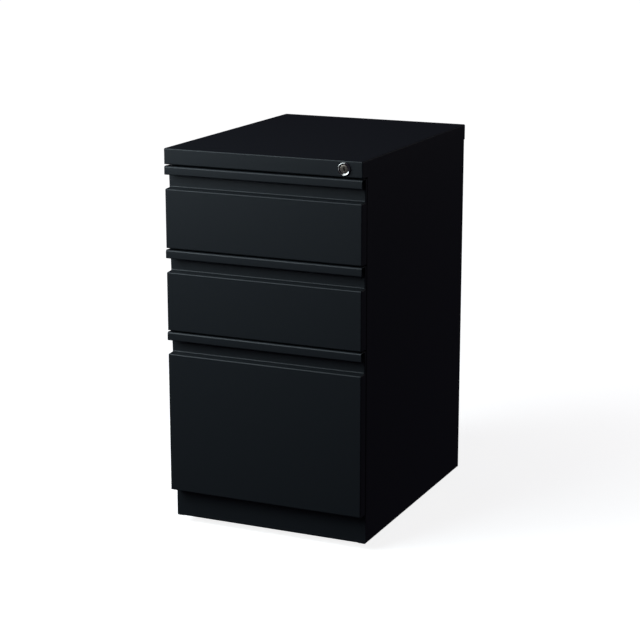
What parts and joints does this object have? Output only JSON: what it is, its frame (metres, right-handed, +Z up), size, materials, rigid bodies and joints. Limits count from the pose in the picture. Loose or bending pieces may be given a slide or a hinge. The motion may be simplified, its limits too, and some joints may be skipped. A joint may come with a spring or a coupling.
{
  "type": "metal filing cabinet",
  "caption": "Mobile under-desk pedestal in black folded steel, with two box drawers over a file drawer, a key lock and concealed casters.",
  "frame": {"origin": "on the floor under the middle of the bounding box", "axes": "+Z up; the drawer fronts face -Y; +X is the cabinet's right as seen from the front"},
  "size_m": [0.381, 0.509, 0.705],
  "materials": {
    "black_powder_coat": "satin black powder coat with a fine texture",
    "zinc_plate": "bright zinc plate",
    "lock_nickel": "polished nickel plate",
    "lock_core": "dull plated zinc and brass",
    "cast_iron": "bare casting, dark",
    "rubber": "matt black rubber",
    "wheel_nylon": "black nylon"
  },
  "bodies": {
    "case": {"top_cap": "black_powder_coat", "side_panel_left": "black_powder_coat", "side_panel_right": "black_powder_coat", "back_panel": "black_powder_coat", "kick_plate": "black_powder_coat", "base_pan": "black_powder_coat", "front_uprights": "zinc_plate", "rear_uprights": "zinc_plate", "front_cross_rails": "black_powder_coat", "counterweight": "cast_iron", "drawer_bumpers": "rubber", "counterweight_bolts": "zinc_plate", "slide_case_members_top": "zinc_plate", "slide_case_members_middle": "zinc_plate", "slide_case_members_file": "zinc_plate", "lock_housing": "lock_nickel", "lock_nut": "zinc_plate", "lock_bar_guides": "zinc_plate", "caster_plates": "zinc_plate", "caster_bolts": "zinc_plate"},
    "drawer_top": {"drawer_front_top": "black_powder_coat", "inner_front_top": "black_powder_coat", "drawer_body_top": "black_powder_coat", "drawer_back_top": "black_powder_coat", "slide_drawer_members_top": "zinc_plate", "lock_catch_top": "zinc_plate"},
    "drawer_middle": {"drawer_front_middle": "black_powder_coat", "inner_front_middle": "black_powder_coat", "drawer_body_middle": "black_powder_coat", "drawer_back_middle": "black_powder_coat", "slide_drawer_members_middle": "zinc_plate", "lock_catch_middle": "zinc_plate"},
    "drawer_file": {"drawer_front_file": "black_powder_coat", "inner_front_file": "black_powder_coat", "drawer_body_file": "black_powder_coat", "drawer_back_file": "black_powder_coat", "slide_drawer_members_file": "zinc_plate", "lock_catch_file": "zinc_plate", "hanging_rails": "zinc_plate"},
    "slide_middles_top": {"slide_middle_members_top": "zinc_plate"},
    "slide_middles_middle": {"slide_middle_members_middle": "zinc_plate"},
    "slide_middles_file": {"slide_middle_members_file": "zinc_plate"},
    "outer_cages_top": {"outer_ball_cages_top": "zinc_plate"},
    "inner_cages_top": {"inner_ball_cages_top": "zinc_plate"},
    "outer_cages_middle": {"outer_ball_cages_middle": "zinc_plate"},
    "inner_cages_middle": {"inner_ball_cages_middle": "zinc_plate"},
    "outer_cages_file": {"outer_ball_cages_file": "zinc_plate"},
    "inner_cages_file": {"inner_ball_cages_file": "zinc_plate"},
    "lock_core": {"lock_plug": "lock_core", "lock_cam": "zinc_plate"},
    "lock_bar": {"lock_bar": "zinc_plate"},
    "fork_front_left": {"caster_fork_front_left": "zinc_plate"},
    "wheel_front_left": {"caster_wheel_front_left": "wheel_nylon"},
    "fork_front_right": {"caster_fork_front_right": "zinc_plate"},
    "wheel_front_right": {"caster_wheel_front_right": "wheel_nylon"},
    "fork_rear_left": {"caster_fork_rear_left": "zinc_plate"},
    "wheel_rear_left": {"caster_wheel_rear_left": "wheel_nylon"},
    "fork_rear_right": {"caster_fork_rear_right": "zinc_plate"},
    "wheel_rear_right": {"caster_wheel_rear_right": "wheel_nylon"}
  },
  "joints": [
    {"name": "drawer_top_slide", "type": "slide", "parent": "case", "child": "drawer_top", "axis": [0, -1, 0], "range_m": [0, 0.42]},
    {"name": "drawer_middle_slide", "type": "slide", "parent": "case", "child": "drawer_middle", "axis": [0, -1, 0], "range_m": [0, 0.42]},
    {"name": "drawer_file_slide", "type": "slide", "parent": "case", "child": "drawer_file", "axis": [0, -1, 0], "range_m": [0, 0.42]},
    {"name": "slide_middles_top_slide", "type": "slide", "parent": "case", "child": "slide_middles_top", "axis": [0, -1, 0], "range_m": [0, 0.21]},
    {"name": "outer_cages_top_slide", "type": "slide", "parent": "case", "child": "outer_cages_top", "axis": [0, -1, 0], "range_m": [0, 0.105]},
    {"name": "inner_cages_top_slide", "type": "slide", "parent": "case", "child": "inner_cages_top", "axis": [0, -1, 0], "range_m": [0, 0.315]},
    {"name": "slide_middles_middle_slide", "type": "slide", "parent": "case", "child": "slide_middles_middle", "axis": [0, -1, 0], "range_m": [0, 0.21]},
    {"name": "outer_cages_middle_slide", "type": "slide", "parent": "case", "child": "outer_cages_middle", "axis": [0, -1, 0], "range_m": [0, 0.105]},
    {"name": "inner_cages_middle_slide", "type": "slide", "parent": "case", "child": "inner_cages_middle", "axis": [0, -1, 0], "range_m": [0, 0.315]},
    {"name": "slide_middles_file_slide", "type": "slide", "parent": "case", "child": "slide_middles_file", "axis": [0, -1, 0], "range_m": [0, 0.21]},
    {"name": "outer_cages_file_slide", "type": "slide", "parent": "case", "child": "outer_cages_file", "axis": [0, -1, 0], "range_m": [0, 0.105]},
    {"name": "inner_cages_file_slide", "type": "slide", "parent": "case", "child": "inner_cages_file", "axis": [0, -1, 0], "range_m": [0, 0.315]},
    {"name": "lock_turn", "type": "hinge", "parent": "case", "child": "lock_core", "pos_m": [0.1565, -0.2515, 0.6905], "axis": [0, 1, 0], "range_deg": [0, 90]},
    {"name": "lock_bar_lift", "type": "slide", "parent": "case", "child": "lock_bar", "axis": [0, 0, 1], "range_m": [0, 0.00707]},
    {"name": "swivel_front_left", "type": "hinge", "parent": "case", "child": "fork_front_left", "pos_m": [-0.1275, -0.1655, 0.05], "axis": [0, 0, 1], "continuous": true},
    {"name": "roll_front_left", "type": "hinge", "parent": "fork_front_left", "child": "wheel_front_left", "pos_m": [-0.1275, -0.1475, 0.025], "axis": [1, 0, 0], "continuous": true},
    {"name": "swivel_front_right", "type": "hinge", "parent": "case", "child": "fork_front_right", "pos_m": [0.1275, -0.1655, 0.05], "axis": [0, 0, 1], "continuous": true},
    {"name": "roll_front_right", "type": "hinge", "parent": "fork_front_right", "child": "wheel_front_right", "pos_m": [0.1275, -0.1475, 0.025], "axis": [1, 0, 0], "continuous": true},
    {"name": "swivel_rear_left", "type": "hinge", "parent": "case", "child": "fork_rear_left", "pos_m": [-0.1275, 0.19, 0.05], "axis": [0, 0, 1], "continuous": true},
    {"name": "roll_rear_left", "type": "hinge", "parent": "fork_rear_left", "child": "wheel_rear_left", "pos_m": [-0.1275, 0.208, 0.025], "axis": [1, 0, 0], "continuous": true},
    {"name": "swivel_rear_right", "type": "hinge", "parent": "case", "child": "fork_rear_right", "pos_m": [0.1275, 0.19, 0.05], "axis": [0, 0, 1], "continuous": true},
    {"name": "roll_rear_right", "type": "hinge", "parent": "fork_rear_right", "child": "wheel_rear_right", "pos_m": [0.1275, 0.208, 0.025], "axis": [1, 0, 0], "continuous": true}
  ],
  "couplings": [
    {"joint": "slide_middles_top_slide", "follows": "drawer_top_slide", "ratio": 0.5},
    {"joint": "outer_cages_top_slide", "follows": "drawer_top_slide", "ratio": 0.25},
    {"joint": "inner_cages_top_slide", "follows": "drawer_top_slide", "ratio": 0.75},
    {"joint": "slide_middles_middle_slide", "follows": "drawer_middle_slide", "ratio": 0.5},
    {"joint": "outer_cages_middle_slide", "follows": "drawer_middle_slide", "ratio": 0.25},
    {"joint": "inner_cages_middle_slide", "follows": "drawer_middle_slide", "ratio": 0.75},
    {"joint": "slide_middles_file_slide", "follows": "drawer_file_slide", "ratio": 0.5},
    {"joint": "outer_cages_file_slide", "follows": "drawer_file_slide", "ratio": 0.25},
    {"joint": "inner_cages_file_slide", "follows": "drawer_file_slide", "ratio": 0.75},
    {"joint": "lock_turn", "follows": "lock_bar_lift", "rad_per_m": 222.14}
  ]
}
